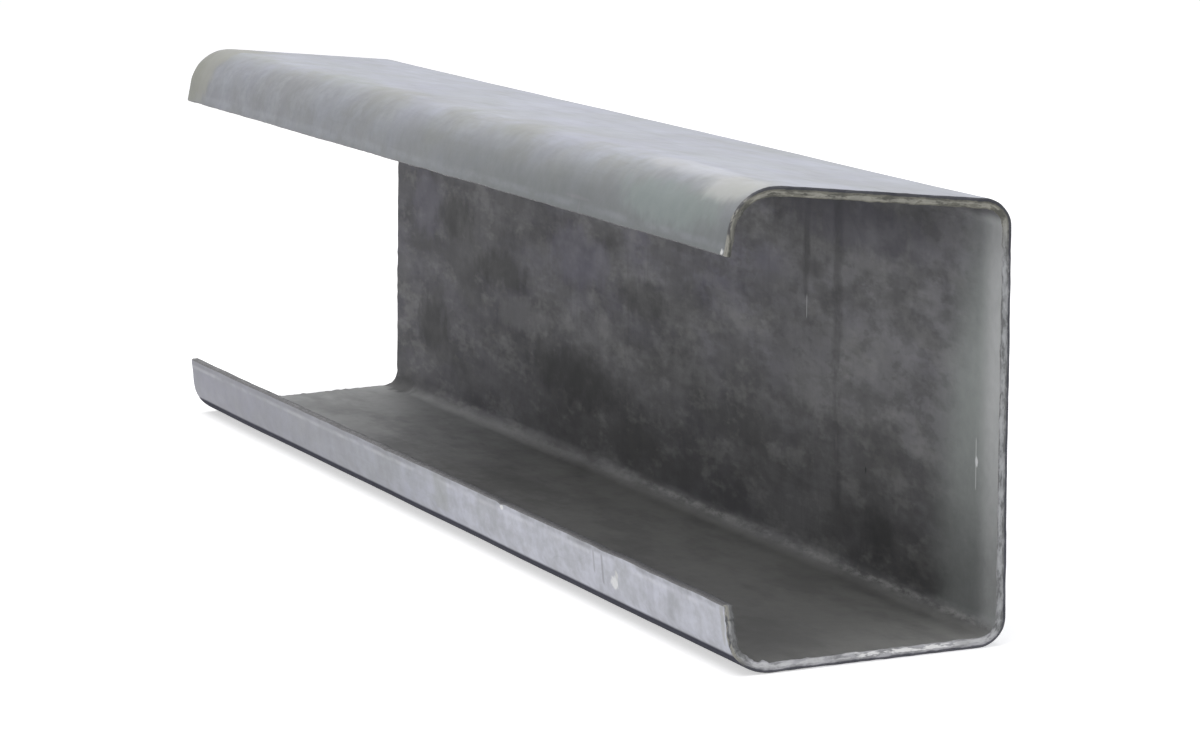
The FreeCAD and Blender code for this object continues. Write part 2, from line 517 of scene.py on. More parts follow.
@dataclass(frozen=True)
class LightFace:
    """The outer face: dull pale grey steel, cloudy, with lavender and greenish patches."""

    effects: Effects
    section: FoldedSection
    lavender: Colour = (0.385, 0.398, 0.475)
    pale: Colour = (0.515, 0.537, 0.615)
    greenish: Colour = (0.330, 0.352, 0.335)
    olive: Colour = (0.235, 0.240, 0.205)
    khaki: Colour = (0.290, 0.290, 0.255)
    dark: Colour = (0.180, 0.180, 0.195)
    smudge: Colour = (0.245, 0.250, 0.262)
    bright: Colour = (0.780, 0.780, 0.780)
    cream: Colour = (0.640, 0.640, 0.620)
    lip_near: Colour = (0.570, 0.580, 0.650)
    lip_far: Colour = (0.255, 0.255, 0.310)
    shaded: Colour = (0.128, 0.140, 0.146)
    sea: Colour = (0.215, 0.260, 0.252)
    under_lip_shade: Colour = (0.018, 0.019, 0.036)

    def build(self) -> bpy.types.Material:
        """Makes the material."""
        sheet = SheetMaterial("pale_outer_steel", self.effects, self.lavender, metallic=0.35, specular=0.4)
        graph = sheet.graph
        lip_fold, _, _, top_fold = self.section.bend_girths()
        pale = sheet.clouds(sheet.drawn(0.45), 34.0, 0.52, 0.16)
        sheet.lay(self.pale, 0.65, pale)
        green = sheet.clouds(sheet.drawn(0.45, seed=0.31), 42.0, 0.52, 0.12)
        from_bend = sheet.rising(sheet.girth, top_fold - 24 * MM, top_fold - 2 * MM)
        sheet.lay(self.greenish, 0.75, green, sheet.between(from_bend, 0.45, 1.0))
        sheet.lay(self.olive, 0.34, sheet.clouds(sheet.drawn(0.45, seed=0.73), 26.0, 0.58, 0.13))
        sheet.lay(self.khaki, 0.62, sheet.clouds(sheet.drawn(0.55, seed=0.52), 44.0, 0.51, 0.11), from_bend)
        rolled = self.effects.streaks.place(graph, vector=sheet.drawn(0.06), scale=420.0, amount=0.50)
        sheet.lay(self.dark, 0.14, rolled)
        self.lay_lips(sheet, lip_fold, top_fold)
        scuffs = self.effects.scratches.place(
            graph, vector=sheet.drawn(0.30), scale=75.0, thinness=0.006, amount=0.52
        )
        sheet.lay(self.dark, 0.35, scuffs)
        under_lip_shade_mask = self.lay_marks(sheet, lip_fold, top_fold)
        grain = graph.noise(sheet.place, 2600.0, 3.0, 0.6)
        soft = graph.noise(sheet.place, 160.0, 4.0, 0.6)
        roughness = graph.math("MULTIPLY_ADD", soft, 0.24, sheet.between(pale, 0.36, 0.42))
        roughness = graph.math("MULTIPLY_ADD", under_lip_shade_mask, 0.42, roughness)
        relief = graph.math("MULTIPLY_ADD", soft, 0.7, graph.math("MULTIPLY", scuffs, -0.3))
        return sheet.finish(roughness, graph.math("MULTIPLY_ADD", grain, 0.3, relief), 0.05 * MM)

    def lay_lips(self, sheet: SheetMaterial, lip_fold: float, top_fold: float) -> None:
        """Shades the two lips, which are smeared round the section and change along their length.

        Args:
            sheet: the material under way.
            lip_fold: the middle of the bottom lip's bend, round the section.
            top_fold: the middle of the top lip's bend.
        """
        lip = sheet.falling(sheet.girth, lip_fold - 1 * MM, lip_fold + 5 * MM)
        sheet.lay(self.lip_far, 0.90, lip, sheet.falling(sheet.along, -0.23, 0.05))
        sheet.lay(self.lip_near, 0.72, lip, sheet.rising(sheet.along, -0.02, 0.09))
        smears = sheet.clouds(sheet.drawn(0.50, 0.80, seed=0.19), 90.0, 0.51, 0.10)
        fine_smears = sheet.clouds(sheet.drawn(0.55, 0.80, seed=0.44), 210.0, 0.54, 0.10)
        sheet.lay(self.smudge, 0.46, smears, lip)
        sheet.lay(self.smudge, 0.18, lip, sheet.falling(sheet.along, -0.10, 0.05))
        sheet.lay(self.smudge, 0.30, fine_smears, lip)
        top_lip = sheet.rising(sheet.girth, top_fold - 8 * MM, top_fold + 3 * MM)
        sheet.lay(self.lip_far, 0.42, top_lip, sheet.falling(sheet.along, -0.16, 0.10))
        patches = sheet.clouds(sheet.drawn(0.42, 0.55, seed=0.27), 80.0, 0.51, 0.11)
        specks = sheet.clouds(sheet.drawn(0.45, 0.60, seed=0.66), 190.0, 0.54, 0.10)
        sheet.lay(self.smudge, 0.52, patches, top_lip)
        sheet.lay(self.shaded, 0.26, top_lip, sheet.falling(sheet.along, -0.14, 0.06))
        sheet.lay(self.shaded, 0.14, top_lip, sheet.rising(sheet.along, 0.12, 0.20))
        sheet.lay(self.pale, 0.22, specks, top_lip)
        slit = sheet.rising(sheet.girth, top_fold - 8 * MM, top_fold + 12 * MM)
        sheet.lay(self.shaded, 1.0, slit, sheet.between(sheet.rising(sheet.along, -0.20, 0.15), 0.30, 0.95))

    def lay_marks(self, sheet: SheetMaterial, lip_fold: float, top_fold: float) -> bpy.types.NodeSocket:
        """Lays the marks that lie at one place, among them a painted highlight on the top lip's bend and
        painted shade under the bottom lip's bend.

        Args:
            sheet: the material under way.
            lip_fold: the middle of the bottom lip's bend, round the section.
            top_fold: the middle of the top lip's bend.

        Returns:
            The mask of the painted shade under the bottom lip.
        """
        tip = top_fold + 14.5 * MM
        worn = sheet.rising(sheet.graph.noise(sheet.drawn(0.5), 120.0, 4.0, 0.65), 0.34, 0.66)
        sheet.lay(self.dark, 0.55, sheet.band(sheet.girth, 0.5 * MM, 0.3 * MM, 1.0 * MM), worn)
        sheet.lay(self.bright, 0.22, sheet.band(sheet.girth, 2.2 * MM, 0.1 * MM, 0.8 * MM), worn)
        sheet.lay(self.pale, 0.12, sheet.band(sheet.girth, tip - 2.0 * MM, 0.2 * MM, 1.4 * MM), worn)
        sheet.lay_spots(
            (
                Spot(-0.240, top_fold - 2 * MM, 17 * MM, 24 * MM, 0.80, self.khaki),
                Spot(-0.246, top_fold + 8 * MM, 10 * MM, 12 * MM, 0.60, self.olive),
                Spot(0.206, top_fold + 6 * MM, 44 * MM, 7 * MM, 0.60, self.sea),
                # Painted highlight: the cream and the bright smear on the top lip's bend near the +X end.
                Spot(0.236, top_fold - 3 * MM, 20 * MM, 7.0 * MM, 0.36, self.cream, 90.0),
                Spot(0.195, top_fold - 7 * MM, 40 * MM, 6.0 * MM, 0.20, self.bright, 70.0),
                Spot(0.140, tip - 4.0 * MM, 12 * MM, 0.6 * MM, 0.60, self.dark, 400.0),
                Spot(0.142, tip - 1.5 * MM, 0.8 * MM, 2.5 * MM, 0.70, self.dark, 400.0),
                Spot(0.2484, tip - 0.6 * MM, 1.5 * MM, 1.0 * MM, 0.80, self.bright, 1100.0),
                Spot(0.167, 7.2 * MM, 3.4 * MM, 1.9 * MM, 0.80, self.bright, 900.0),
                Spot(0.169, 5.2 * MM, 1.6 * MM, 1.6 * MM, 0.70, self.cream, 1100.0),
                Spot(0.0765, 0.8 * MM, 1.8 * MM, 1.0 * MM, 0.90, self.bright, 1100.0),
                Spot(0.2470, 4.0 * MM, 2.0 * MM, 7.0 * MM, 0.55, self.khaki, 400.0),
            )
        )
        sheet.lay_runs(
            (
                Run(0.1585, 2 * MM, 8 * MM, 0.3 * MM, 0.8 * MM, 0.55, self.dark),
                Run(0.1520, 2 * MM, 6 * MM, 0.2 * MM, 0.7 * MM, 0.45, self.dark),
                Run(0.1950, 3 * MM, 12 * MM, 0.8 * MM, 3.2 * MM, 0.24, self.dark),
                Run(0.2100, 2 * MM, 9 * MM, 0.5 * MM, 2.6 * MM, 0.18, self.dark),
                Run(0.0200, 1 * MM, 9 * MM, 3.0 * MM, 6.0 * MM, 0.30, self.olive),
            )
        )
        # Painted shade: a near-black band on the underside of the bottom lip's bend, where the floor shadows
        # it; it is also made rougher.
        under_lip_shade_mask = sheet.band(sheet.girth, lip_fold + 7.2 * MM, 9.2 * MM, 1.2 * MM)
        sheet.lay(self.under_lip_shade, 0.97, under_lip_shade_mask)
        return under_lip_shade_mask


@dataclass(frozen=True)
class DarkFace:
    """The inner face: dark mill-scaled steel, blotchy, with streaks, scratches, a pale broken line along the
    fold, and painted shade under the top fold and beside the bottom fold.
    """

    effects: Effects
    section: FoldedSection
    half_length: float
    dark: Colour = (0.068, 0.068, 0.070)
    middle: Colour = (0.165, 0.165, 0.170)
    fog: Colour = (0.225, 0.225, 0.232)
    violet: Colour = (0.145, 0.140, 0.190)
    dark_violet: Colour = (0.075, 0.072, 0.098)
    greenish: Colour = (0.335, 0.360, 0.350)
    pale: Colour = (0.300, 0.300, 0.295)
    pale_grey: Colour = (0.540, 0.550, 0.555)
    lit: Colour = (0.262, 0.262, 0.268)
    flange_fold: Colour = (0.330, 0.330, 0.320)
    flange_lip: Colour = (0.205, 0.205, 0.200)
    black: Colour = (0.028, 0.028, 0.030)
    white: Colour = (0.800, 0.810, 0.820)

    def build(self) -> bpy.types.Material:
        """Makes the material."""
        sheet = SheetMaterial("dark_inner_steel", self.effects, self.dark, metallic=0.25, specular=0.18)
        graph = sheet.graph
        _, low_fold, high_fold, _ = self.section.bend_girths()
        blotch = sheet.clouds(sheet.drawn(0.30), 46.0, 0.50, 0.09)
        sheet.lay(self.middle, 1.0, blotch)
        upper = sheet.rising(sheet.girth, low_fold + 28 * MM, low_fold + 70 * MM)
        violet = sheet.clouds(sheet.drawn(0.35, seed=0.37), 24.0, 0.50, 0.10)
        sheet.lay(self.violet, 0.75, violet, sheet.between(upper, 0.25, 1.0))
        sheet.lay(self.fog, 0.45, sheet.clouds(sheet.drawn(0.45, seed=0.61), 85.0, 0.56, 0.08))
        drawn = self.effects.streaks.place(graph, vector=sheet.drawn(0.05), scale=360.0, amount=0.52)
        sheet.lay(self.dark, 0.12, drawn)
        runs = self.effects.streaks.place(graph, vector=sheet.drawn(1.0, 0.10), scale=190.0, amount=0.46)
        sheet.lay(self.black, 0.18, runs)
        scratches = self.effects.scratches.place(
            graph, vector=sheet.drawn(1.0, 0.28), scale=60.0, thinness=0.004, amount=0.50
        )
        sheet.lay(self.pale, 0.35, scratches)
        broken = graph.noise(sheet.place, 330.0, 4.0, 0.7)
        self.lay_web(sheet, broken, low_fold, high_fold)
        self.lay_flange(sheet, broken, low_fold)
        self.lay_marks(sheet, broken, low_fold, high_fold)
        grain = graph.noise(sheet.place, 1900.0, 3.0, 0.6)
        soft = graph.noise(sheet.place, 140.0, 4.0, 0.6)
        roughness = graph.math("MULTIPLY_ADD", soft, 0.22, sheet.between(blotch, 0.50, 0.45))
        relief = graph.math("MULTIPLY_ADD", soft, 0.65, graph.math("MULTIPLY", scratches, -0.4))
        return sheet.finish(roughness, graph.math("MULTIPLY_ADD", grain, 0.35, relief), 0.06 * MM)

    def lay_web(self, sheet: SheetMaterial, broken: Feed, low_fold: float, high_fold: float) -> None:
        """Shades the web: dark low down, painted shade under the top fold, and pale towards the +X cut.

        Args:
            sheet: the material under way.
            broken: fine noise that breaks up the tints.
            low_fold: the middle of the bend at the bottom flange, round the section.
            high_fold: the middle of the bend at the top flange.
        """
        half = self.half_length
        on_web = sheet.band(sheet.girth, (low_fold + high_fold) / 2, 44 * MM, 6 * MM)
        near = sheet.rising(sheet.along, 0.03, 0.17)
        upper_web = sheet.band(sheet.girth, low_fold + 62 * MM, 16 * MM, 26 * MM)
        sheet.lay(self.lit, 0.60, near, upper_web, sheet.between(broken, 0.6, 1.3))
        low_web = sheet.falling(sheet.girth, low_fold + 10 * MM, low_fold + 44 * MM)
        sheet.lay(self.dark, 0.42, low_web, on_web)
        far = sheet.falling(sheet.along, -half, 0.0)
        far_blotches = sheet.clouds(sheet.drawn(0.20, seed=0.47), 42.0, 0.50, 0.05)
        sheet.lay(self.dark_violet, 0.52, far, on_web)
        sheet.lay(self.black, 0.50, far_blotches, far, on_web)
        sheet.lay(self.dark, 0.62, sheet.clouds(sheet.drawn(0.30, seed=0.83), 52.0, 0.53, 0.06), on_web)
        sheet.lay(self.dark, 0.45, sheet.clouds(sheet.drawn(0.36, seed=0.29), 190.0, 0.54, 0.07))
        sheet.lay(self.pale, 0.30, sheet.clouds(sheet.drawn(0.36, seed=0.97), 120.0, 0.57, 0.07))
        slant = sheet.graph.math("SUBTRACT", high_fold, sheet.girth)
        slanted = sheet.graph.math("MULTIPLY_ADD", slant, 0.50, sheet.along)
        zone = sheet.rising(slanted, half - 28 * MM, half + 8 * MM)
        in_reach = sheet.rising(sheet.along, half - 52 * MM, half - 22 * MM)
        lift = sheet.between(sheet.rising(sheet.girth, low_fold + 8 * MM, low_fold + 55 * MM), 0.45, 1.0)
        sheet.lay(self.greenish, 0.95, zone, in_reach, on_web, lift, sheet.between(broken, 0.7, 1.2))
        pale_end = sheet.rising(sheet.along, half - 15 * MM, half - 4 * MM)
        sheet.lay(self.pale_grey, 0.88, pale_end, on_web, lift, sheet.between(broken, 0.6, 1.3))
        # Painted shade of the top flange: a dark band on the web under the top fold, weaker near the +X cut.
        under_fold = sheet.band(sheet.girth, high_fold - 4 * MM, 4 * MM, 9 * MM)
        sheet.lay(self.black, 0.50, under_fold, sheet.between(in_reach, 1.0, 0.30))

    def lay_flange(self, sheet: SheetMaterial, broken: Feed, low_fold: float) -> None:
        """Shades the inside of the bottom flange, which is paler than the web and palest far off.

        Args:
            sheet: the material under way.
            broken: fine noise that breaks up the tints.
            low_fold: the middle of the bend at the bottom flange, round the section.
        """
        flange = sheet.falling(sheet.girth, low_fold - 4 * MM, low_fold + 2 * MM)
        across = sheet.rising(sheet.girth, low_fold - 50 * MM, low_fold - 8 * MM)
        tone = sheet.graph.blend(across, self.flange_lip, self.flange_fold)
        near = sheet.between(sheet.rising(sheet.along, -0.14, 0.08), 0.34, 0.88)
        sheet.lay(tone, 1.0, flange, near, sheet.between(broken, 0.80, 1.15))
        far = sheet.falling(sheet.along, -self.half_length - 0.01, -0.04)
        sheet.lay(self.pale_grey, 0.62, flange, far, sheet.between(broken, 0.7, 1.2))
        sheet.lay(self.dark, 0.28, sheet.clouds(sheet.drawn(0.30, seed=0.13), 60.0, 0.52, 0.08), flange)

    def lay_marks(self, sheet: SheetMaterial, broken: Feed, low_fold: float, high_fold: float) -> None:
        """Lays the pale fold line with painted shade beside it, and the runs, scratches, chips, stains and a
        painted shade arch that lie at one place.

        Args:
            sheet: the material under way.
            broken: not used.
            low_fold: the middle of the bend at the bottom flange, round the section.
            high_fold: the middle of the bend at the top flange.
        """
        fold = sheet.band(sheet.girth, low_fold + 0.8 * MM, 0.5 * MM, 1.9 * MM)
        patches = sheet.rising(sheet.graph.noise(sheet.drawn(0.45), 260.0, 4.0, 0.7), 0.38, 0.66)
        sheet.lay(self.pale, 0.80, fold, patches, sheet.rising(sheet.along, -0.06, 0.03))
        # Painted shade on the flange just beside the bottom fold, towards the +X end.
        foot = sheet.band(sheet.girth, low_fold - 5 * MM, 0.5 * MM, 4.0 * MM)
        sheet.lay(self.black, 0.14, foot, sheet.rising(sheet.along, -0.02, 0.08))
        sheet.lay_runs(
            (
                Run(0.1425, low_fold + 20 * MM, high_fold, 0.6 * MM, 5.5 * MM, 0.55, self.black),
                Run(0.1200, low_fold + 66 * MM, high_fold, 0.4 * MM, 4.0 * MM, 0.55, self.black),
                Run(0.0980, low_fold + 78 * MM, high_fold, 1.0 * MM, 4.5 * MM, 0.40, self.black),
            ),
            sheet.between(sheet.graph.noise(sheet.drawn(1.0, 0.6), 110.0, 4.0, 0.7), -0.55, 2.0),
        )
        sheet.lay_runs(
            (
                Run(0.2358, low_fold + 33 * MM, low_fold + 43 * MM, 0.10 * MM, 0.35 * MM, 0.50, self.white),
                Run(0.1205, low_fold + 60 * MM, low_fold + 64 * MM, 0.05 * MM, 0.35 * MM, 0.45, self.white),
            )
        )
        sheet.lay_spots(
            (
                # Painted shade: a dark violet arch on the web, the lower rim of the top flange's shade.
                Spot(0.160, high_fold - 13 * MM, 62 * MM, 8 * MM, 0.55, self.dark_violet),
                Spot(0.2362, low_fold + 38.5 * MM, 1.0 * MM, 1.5 * MM, 1.00, self.white, 500.0),
                Spot(0.1635, low_fold + 27.4 * MM, 0.7 * MM, 1.0 * MM, 1.00, self.black, 900.0),
                Spot(0.172, low_fold + 13 * MM, 16 * MM, 8 * MM, 0.50, self.black),
                Spot(0.206, low_fold + 8 * MM, 16 * MM, 6 * MM, 0.35, self.black),
                Spot(0.178, low_fold + 33 * MM, 14 * MM, 7 * MM, 0.40, self.dark),
                Spot(0.120, low_fold + 44 * MM, 16 * MM, 8 * MM, 0.35, self.fog),
                Spot(-0.066, low_fold + 57 * MM, 34 * MM, 10 * MM, 0.55, self.violet),
                Spot(-0.215, low_fold + 58 * MM, 24 * MM, 12 * MM, 0.45, self.violet),
                Spot(-0.186, low_fold + 57 * MM, 26 * MM, 8 * MM, 0.86, self.black),
                Spot(-0.139, low_fold + 46 * MM, 30 * MM, 7 * MM, 0.82, self.black),
                Spot(-0.010, low_fold + 51 * MM, 30 * MM, 6 * MM, 0.58, self.black),
                Spot(-0.119, low_fold + 35 * MM, 30 * MM, 6 * MM, 0.45, self.fog),
                Spot(-0.211, low_fold + 24 * MM, 20 * MM, 10 * MM, 0.86, self.black),
                Spot(-0.044, low_fold + 40 * MM, 9 * MM, 4 * MM, 0.30, self.pale, 300.0),
                Spot(-0.067, low_fold + 23 * MM, 55 * MM, 9 * MM, 0.62, self.black),
                Spot(-0.240, low_fold - 1 * MM, 20 * MM, 6 * MM, 0.75, self.black),
            )
        )


@dataclass(frozen=True)
class ShearedEdge:
    """The cut ends and the slit edges of the lips: torn metal, dull above and bright below."""

    effects: Effects
    section: FoldedSection
    half_length: float
    khaki: Colour = (0.175, 0.172, 0.145)
    sand: Colour = (0.400, 0.392, 0.350)
    navy: Colour = (0.040, 0.042, 0.058)
    grey: Colour = (0.300, 0.305, 0.315)
    steel: Colour = (0.480, 0.490, 0.505)
    silver: Colour = (0.470, 0.470, 0.500)
    white: Colour = (0.900, 0.900, 0.900)
    dark: Colour = (0.060, 0.062, 0.060)
    slit_grey: Colour = (0.115, 0.115, 0.125)

    def build(self) -> bpy.types.Material:
        """Makes the material."""
        sheet = SheetMaterial("sheared_steel_edge", self.effects, self.grey, metallic=0.40, specular=0.4)
        graph = sheet.graph
        lip_fold, low_fold, high_fold, top_lip_fold = self.section.bend_girths()
        share = graph.math("DIVIDE", sheet.depth, self.section.sheet)
        along_cut = sheet.drawn(1.0, 0.35)
        torn = sheet.clouds(along_cut, 700.0, 0.50, 0.08)
        chips = sheet.rising(graph.noise(sheet.drawn(1.0, 0.25), 700.0, 3.0, 0.7), 0.43, 0.53)
        layer = graph.math(
            "ADD", share, graph.math("MULTIPLY_ADD", graph.noise(along_cut, 800.0, 3.0, 0.65), 0.4, -0.2)
        )
        lit = sheet.band(layer, 0.70, 0.13, 0.14)
        upper = sheet.rising(sheet.girth, high_fold - 14 * MM, high_fold)
        lower = sheet.band(sheet.girth, (lip_fold + low_fold) / 2, 27 * MM, 7 * MM)
        below_top = sheet.falling(sheet.girth, high_fold - 14 * MM, high_fold)
        sheet.lay(self.khaki, 1.0, upper)
        sheet.lay(self.silver, 0.9, lower)
        sheet.lay(self.dark, 0.55, torn, sheet.between(lower, 1.0, 0.65))
        sheet.lay(self.navy, 0.85, sheet.falling(layer, 0.24, 0.38))
        sheet.lay(self.sand, 0.55, lit, chips, upper)
        sheet.lay(self.steel, 0.50, lit, chips, below_top)
        bright_stretch = sheet.band(sheet.girth, lip_fold + 39 * MM, 9 * MM, 5 * MM)
        sheet.lay(self.white, 0.95, lit, chips, lower, sheet.between(bright_stretch, 0.30, 1.0))
        middle = (lip_fold + top_lip_fold) / 2
        off_lips = sheet.band(sheet.girth, middle, (top_lip_fold - lip_fold) / 2 - 2 * MM, 5 * MM)
        lips = graph.math("SUBTRACT", 1.0, off_lips)
        sheet.lay(self.dark, 0.60, lips, sheet.rising(layer, 0.45, 0.70))
        sheet.lay(self.sand, 0.75, lips, sheet.falling(layer, 0.35, 0.60), sheet.between(chips, 0.15, 1.0))
        from_end = graph.math("ABSOLUTE", sheet.along)
        slit = sheet.falling(from_end, self.half_length - 2.5 * MM, self.half_length - 0.5 * MM)
        sheet.lay(self.slit_grey, 0.85, lips, slit)
        grain = graph.noise(along_cut, 1500.0, 4.0, 0.65)
        height = graph.math("MULTIPLY_ADD", grain, 0.4, graph.math("MULTIPLY", torn, -0.6))
        return sheet.finish(sheet.between(torn, 0.38, 0.63), height, 0.12 * MM)


# --------------------------------------------------------------------------------------------
# The sheet's mesh
# --------------------------------------------------------------------------------------------


@dataclass(frozen=True)
class Nick:
    """A small notch in the bottom lip's slit edge."""

    along: float
    depth: float
    half_length: float


@dataclass
class PurlinSheet:
    """The folded sheet as one closed mesh, with torn ends, worn lip edges and slightly wavy walls."""

    section: FoldedSection = field(default_factory=FoldedSection)
    length: float = 500.0 * MM
    station_step: float = 4.0 * MM
    end_stations: tuple[float, ...] = (0.0, 0.12 * MM, 0.3 * MM, 0.6 * MM, 1.1 * MM, 1.8 * MM, 2.8 * MM)
    layers: int = 8  # steps through the sheet's thickness at a cut
    end_zone: float = 2.8 * MM
    rollover: float = 0.40 * MM
    tear: float = 0.32 * MM
    lip_tear: float = 1.9 * MM
    lip_tear_girth: float = 21.0 * MM
    waviness: float = 0.22 * MM
    burr: float = 0.25 * MM
    lip_burr: float = 1.4 * MM  # on the inside of the bottom lip at the +X cut
    lip_thinning: float = 0.36  # share of its thickness that a lip loses at the +X cut, at most
    corner_round: float = 0.30 * MM
    nicks: tuple[Nick, ...] = (
        Nick(0.0765, 0.5 * MM, 1.2 * MM),
        Nick(-0.031, 0.3 * MM, 2.0 * MM),
        Nick(0.158, 0.35 * MM, 1.6 * MM),
        Nick(0.213, 0.4 * MM, 1.0 * MM),
    )
    dent: tuple[float, float, float, float] = (0.167, 6.5 * MM, 2.4 * MM, 0.35 * MM)

    def stations(self) -> np.ndarray:
        """Where the rings lie along the length, closer together near the ends."""
        half = self.length / 2
        inner = np.linspace(
            -(half - self.end_zone), half - self.end_zone, round(self.length / self.station_step)
        )
        near = np.array([half - gap for gap in self.end_stations[:-1]])
        return np.concatenate([-near, inner, near[::-1]])

    @staticmethod
    def ripple(x: float, girth: float, scale: float, seed: float) -> float:
        """Smooth noise over the unrolled sheet, from 0 to 1."""
        value = noise.noise(Vector((x / scale, girth / scale, seed)))
        return min(1.0, max(0.0, 0.5 + 0.8 * value))

    def end_relief(self, side: float, girth: float, layer: float) -> float:
        """How far a point of a cut face lies back from the plane of the cut.

        Args:
            side: 1 at the +X end, -1 at the other.
            girth: distance round the section.
            layer: 0 on the outer face, 1 on the inner face.

        Returns:
            The distance, in metres.
        """
        seed = 3.0 + side
        roll = self.rollover * max(0.0, 1.0 - layer / 0.3) ** 2 * (
            0.6 + 0.8 * self.ripple(seed, girth, 9 * MM, 1.0)
        )
        wander = self.tear * self.ripple(seed, girth, 14 * MM, 5.0)
        fine_tear = self.ripple(layer * 2 * MM + seed, girth, 1.1 * MM, 9.0)
        rough = self.tear * 0.8 * fine_tear * max(0.0, layer - 0.35)
        relief = roll + wander * 0.6 + rough
        if side > 0 and girth < self.lip_tear_girth:
            share = min(1.0, (self.lip_tear_girth - girth) / (5 * MM))
            ragged = self.ripple(0.0, girth, 3.2 * MM, 21.0) + 0.7 * self.ripple(0.0, girth, 1.1 * MM, 33.0)
            relief += share * self.lip_tear * max(0.0, ragged - 0.45) * 0.8
        return relief

    def tip_relief(self, x: float, girth: float, layer: float) -> float:
        """How far a point of a lip's slit edge lies back from the plane of the edge."""
        rim = max(0.0, 1.0 - min(layer, 1.0 - layer) / 0.25)
        relief = self.corner_round * rim * rim + 0.22 * MM * self.ripple(x, girth, 17 * MM, 41.0)
        relief += 0.12 * MM * self.ripple(x, girth, 2.6 * MM, 47.0)
        if girth < self.section.lip:
            for nick in self.nicks:
                relief += nick.depth * math.exp(-(((x - nick.along) / nick.half_length) ** 2))
        return relief

    def place(self, rail: Rail, whole_girth: float, x: float, layer: float) -> tuple[float, float, float]:
        """The position of one point of the sheet.

        Args:
            rail: the line of the sheet that it lies on.
            whole_girth: the distance round the whole section.
            x: its station along the length.
            layer: 0 on the outer face, 1 on the inner face.

        Returns:
            Its coordinates, in metres.
        """
        half, side = self.length / 2, math.copysign(1.0, x)
        gap = half - abs(x)
        depth = layer * self.section.sheet
        sag = self.waviness * self.ripple(x, rail.girth, 55 * MM, 60.0)
        sag += 0.05 * MM * self.ripple(x, rail.girth, 13 * MM, 66.0)
        depth += sag * 0.75
        if gap < self.end_zone:
            fall = 1.0 - gap / self.end_zone
            x -= side * self.end_relief(side, rail.girth, layer) * fall
            edge = math.exp(-gap / (0.45 * MM))
            depth += edge * 0.12 * MM * (1.0 - layer) ** 3 * self.ripple(side, rail.girth, 2.4 * MM, 77.0)
            bristle = self.ripple(side, rail.girth, 1.5 * MM, 71.0) ** 2
            depth += edge * self.burr * max(0.0, layer - 0.6) / 0.4 * bristle
        back = min(rail.girth, whole_girth - rail.girth)
        if side > 0 and back < self.lip_tear_girth:
            reach = min(1.0, (self.lip_tear_girth - back) / (7 * MM)) * math.exp(-gap / (1.6 * MM))
            fine_bite = self.ripple(0.0, rail.girth, 1.8 * MM, 81.0)
            bite = 0.55 + 0.45 * fine_bite * self.ripple(0.0, rail.girth, 5 * MM, 85.0) * 2.0
            depth *= 1.0 - self.lip_thinning * reach * min(1.0, bite) * (layer > 0)
            if rail.girth < self.lip_tear_girth:
                flake = self.ripple(0.0, rail.girth, 1.9 * MM, 91.0) ** 2 * max(0.0, layer - 0.4) / 0.6
                depth += self.lip_burr * flake * math.exp(-gap / (0.9 * MM))
        slide = 0.0
        if back < 3 * MM:
            low_tip = rail.girth < whole_girth / 2
            slide = self.tip_relief(x, 0.0 if low_tip else whole_girth, layer) * (1.0 - back / (3 * MM))
            slide = slide if low_tip else -slide
        along, girth, reach, sink = self.dent
        far = ((x - along) / reach) ** 2 + ((rail.girth - girth) / reach) ** 2
        if far < 9.0:
            depth += sink * math.exp(-far) * (1.0 - 0.6 * layer)
        spot = rail.outer + rail.inward * depth + rail.along * slide
        return x, float(spot[0]), float(spot[1])

    def build(self) -> bpy.types.Object:
        """Makes the mesh: rings along the length, closed at each end by a grid through the sheet."""
        rails, stations = self.section.rails(), self.stations()
        whole_girth = rails[-1].girth
        last, layers = len(rails) - 1, self.layers
        ring = [(i, 0) for i in range(last + 1)] + [(last, j) for j in range(1, layers)]
        ring += [(i, layers) for i in range(last, -1, -1)] + [(0, j) for j in range(layers - 1, 0, -1)]
        points: list[tuple[float, float, float]] = []
        marks: list[tuple[float, float, float]] = []

        def add(x: float, i: int, j: int) -> int:
            """Adds one vertex and its place on the sheet, and returns its index."""
            points.append(self.place(rails[i], whole_girth, x, j / layers))
            marks.append((x, rails[i].girth, j / layers * self.section.sheet))
            return len(points) - 1

        rings = [[add(float(x), i, j) for i, j in ring] for x in stations]
        faces: list[tuple[int, ...]] = []
        kinds: list[Face] = []
        size = len(ring)
        for here, there in zip(rings, rings[1:]):
            for k in range(size):
                following = (k + 1) % size
                faces.append((here[k], here[following], there[following], there[k]))
                if k < last:
                    kinds.append(Face.OUTER)
                elif last + layers <= k < 2 * last + layers:
                    kinds.append(Face.INNER)
                else:
                    kinds.append(Face.EDGE)
        for end, x in ((rings[0], stations[0]), (rings[-1], stations[-1])):
            known = dict(zip(ring, end))
            grid = {
                (i, j): known[i, j] if (i, j) in known else add(float(x), i, j)
                for i in range(last + 1)
                for j in range(layers + 1)
            }
            for i in range(last):
                for j in range(layers):
                    square = (grid[i, j], grid[i, j + 1], grid[i + 1, j + 1], grid[i + 1, j])
                    faces.append(square if x < 0 else square[::-1])
                    kinds.append(Face.EDGE)
        return self.make_object(points, marks, faces, kinds)

